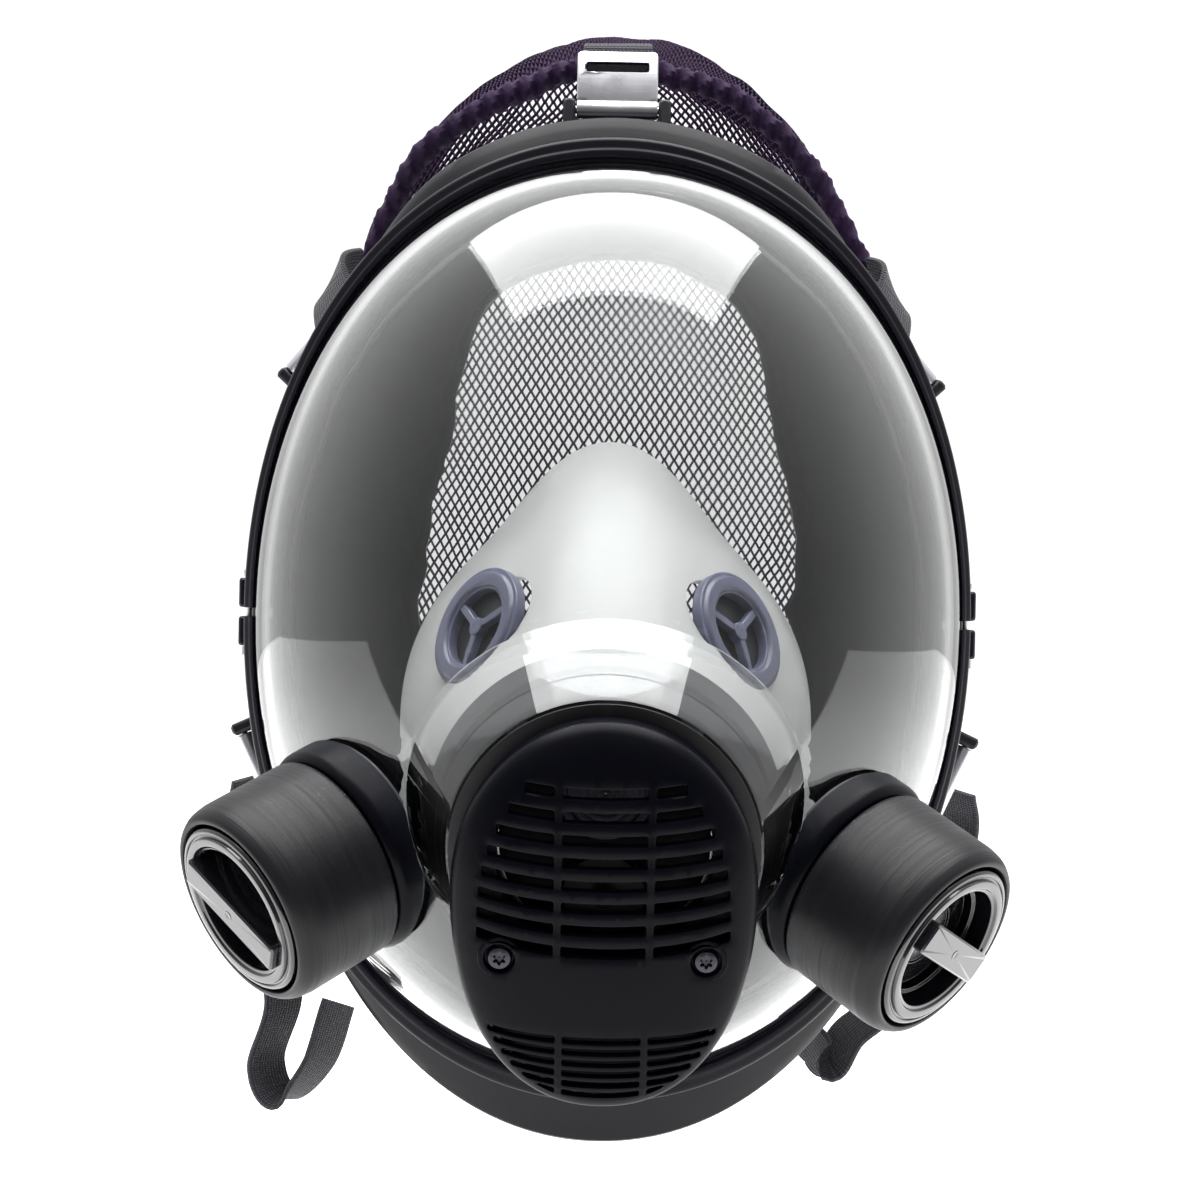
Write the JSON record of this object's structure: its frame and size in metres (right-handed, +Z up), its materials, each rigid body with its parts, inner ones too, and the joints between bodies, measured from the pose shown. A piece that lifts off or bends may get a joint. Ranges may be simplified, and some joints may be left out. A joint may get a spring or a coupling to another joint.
{
  "type": "full face respirator",
  "caption": "Full face respirator: domed clear lens, two-piece clamp frame, rubber face blank, nose cup, slotted exhalation cover, two angled screw ports with plugs, net head harness.",
  "frame": {"origin": "centre of the face opening, in the plane of the clamp frame's front edge", "axes": "+Y runs back into the wearer, +Z up; left and right in the names are as seen from the front, so left is -X"},
  "size_m": [0.2074, 0.3278, 0.3035],
  "materials": {
    "rubber": "satin moulded rubber",
    "frame_plastic": "satin black moulded plastic",
    "cover_plastic": "satin black moulded plastic",
    "turned_plastic": "black with fine turned lines",
    "gloss_plastic": "glossy black",
    "clear": "clear polycarbonate",
    "silicone": "translucent grey silicone",
    "valve_plastic": "blue-grey moulded plastic",
    "flap": "thin black silicone",
    "steel": "satin steel",
    "net": "purple-black knitted mesh",
    "webbing": "dark grey elastic webbing"
  },
  "bodies": {
    "root": {"upper_frame": "frame_plastic", "lower_frame": "frame_plastic", "frame_screw_left": "steel", "frame_nut_left": "steel", "frame_screw_right": "steel", "frame_nut_right": "steel", "face_blank": "rubber", "visor": "clear", "valve_housing": "cover_plastic", "housing_gasket": "flap", "housing_nut": "cover_plastic", "cup_connector": "cover_plastic", "valve_plate": "cover_plastic", "speech_diaphragm": "steel", "exhalation_seat": "cover_plastic", "exhalation_cover": "cover_plastic", "cover_screw_left": "steel", "cover_screw_right": "steel", "port_tube_left": "turned_plastic", "port_collar_left": "gloss_plastic", "port_gasket_left": "flap", "port_nut_left": "cover_plastic", "port_valve_seat_left": "valve_plastic", "port_tube_right": "turned_plastic", "port_collar_right": "gloss_plastic", "port_gasket_right": "flap", "port_nut_right": "cover_plastic", "port_valve_seat_right": "valve_plastic", "nose_cup": "silicone", "cup_valve_seat_left": "valve_plastic", "cup_valve_seat_right": "valve_plastic", "head_net": "net", "top_strap": "webbing", "temple_strap_left": "webbing", "cheek_strap_left": "webbing", "temple_strap_right": "webbing", "cheek_strap_right": "webbing", "strap_tail_left": "webbing", "strap_tail_right": "webbing", "top_buckle_pin": "steel", "temple_left_buckle_pin": "steel", "temple_right_buckle_pin": "steel", "cheek_left_buckle_pin": "steel", "cheek_right_buckle_pin": "steel"},
    "plug_carrier_left": {"plug_gasket_left": "flap"},
    "plug_left": {"plug_left": "gloss_plastic"},
    "port_flap_left": {"port_valve_disc_left": "flap"},
    "cup_flap_left": {"cup_valve_disc_left": "flap"},
    "plug_carrier_right": {"plug_gasket_right": "flap"},
    "plug_right": {"plug_right": "gloss_plastic"},
    "port_flap_right": {"port_valve_disc_right": "flap"},
    "cup_flap_right": {"cup_valve_disc_right": "flap"},
    "exhalation_flap": {"exhalation_disc": "flap"},
    "top_buckle": {"top_buckle": "steel"},
    "temple_left_buckle": {"temple_left_buckle": "steel"},
    "temple_right_buckle": {"temple_right_buckle": "steel"},
    "cheek_left_buckle": {"cheek_left_buckle": "steel"},
    "cheek_right_buckle": {"cheek_right_buckle": "steel"}
  },
  "joints": [
    {"name": "plug_slide_left", "type": "slide", "parent": "root", "child": "plug_carrier_left", "axis": [-0.7147, -0.5701, -0.4053], "range_m": [0, 0.00544]},
    {"name": "plug_turn_left", "type": "hinge", "parent": "plug_carrier_left", "child": "plug_left", "pos_m": [-0.08124, -0.067, -0.0656], "axis": [-0.7147, -0.5701, -0.4053], "range_deg": [0, 540]},
    {"name": "port_flap_lift_left", "type": "slide", "parent": "root", "child": "port_flap_left", "axis": [0.7147, 0.5701, 0.4053], "range_m": [0, 0.0012], "stiffness_N_per_m": 40},
    {"name": "cup_flap_lift_left", "type": "slide", "parent": "root", "child": "cup_flap_left", "axis": [0.7419, 0.5714, -0.3509], "range_m": [0, 0.0015], "stiffness_N_per_m": 40},
    {"name": "plug_slide_right", "type": "slide", "parent": "root", "child": "plug_carrier_right", "axis": [0.6846, -0.5701, -0.4542], "range_m": [0, 0.00544]},
    {"name": "plug_turn_right", "type": "hinge", "parent": "plug_carrier_right", "child": "plug_right", "pos_m": [0.07647, -0.067, -0.07111], "axis": [0.6846, -0.5701, -0.4542], "range_deg": [0, 540]},
    {"name": "port_flap_lift_right", "type": "slide", "parent": "root", "child": "port_flap_right", "axis": [-0.6846, 0.5701, 0.4542], "range_m": [0, 0.0012], "stiffness_N_per_m": 40},
    {"name": "cup_flap_lift_right", "type": "slide", "parent": "root", "child": "cup_flap_right", "axis": [-0.7419, 0.5714, -0.3509], "range_m": [0, 0.0015], "stiffness_N_per_m": 40},
    {"name": "exhalation_flap_lift", "type": "slide", "parent": "root", "child": "exhalation_flap", "axis": [0, -0.9636, -0.2672], "range_m": [0, 0.0012], "stiffness_N_per_m": 40},
    {"name": "top_buckle_hinge", "type": "hinge", "parent": "root", "child": "top_buckle", "pos_m": [0, 0.024, 0.1323], "axis": [1, 0, 0], "range_deg": [0, 60]},
    {"name": "temple_left_buckle_hinge", "type": "hinge", "parent": "root", "child": "temple_left_buckle", "pos_m": [-0.08072, 0.05772, 0.0738], "axis": [0.6533, -0.2501, 0.7146], "range_deg": [0, 60]},
    {"name": "temple_right_buckle_hinge", "type": "hinge", "parent": "root", "child": "temple_right_buckle", "pos_m": [0.08072, 0.05772, 0.0738], "axis": [0.6533, 0.2501, -0.7146], "range_deg": [0, 60]},
    {"name": "cheek_left_buckle_hinge", "type": "hinge", "parent": "root", "child": "cheek_left_buckle", "pos_m": [-0.09362, 0.05248, -0.04293], "axis": [-0.4164, 0.0454, 0.9081], "range_deg": [0, 60]},
    {"name": "cheek_right_buckle_hinge", "type": "hinge", "parent": "root", "child": "cheek_right_buckle", "pos_m": [0.09362, 0.05248, -0.04293], "axis": [-0.4164, -0.0454, -0.9081], "range_deg": [0, 60]}
  ],
  "couplings": [
    {"joint": "plug_turn_left", "follows": "plug_slide_left", "rad_per_m": 1731.4},
    {"joint": "plug_turn_right", "follows": "plug_slide_right", "rad_per_m": 1731.4}
  ]
}
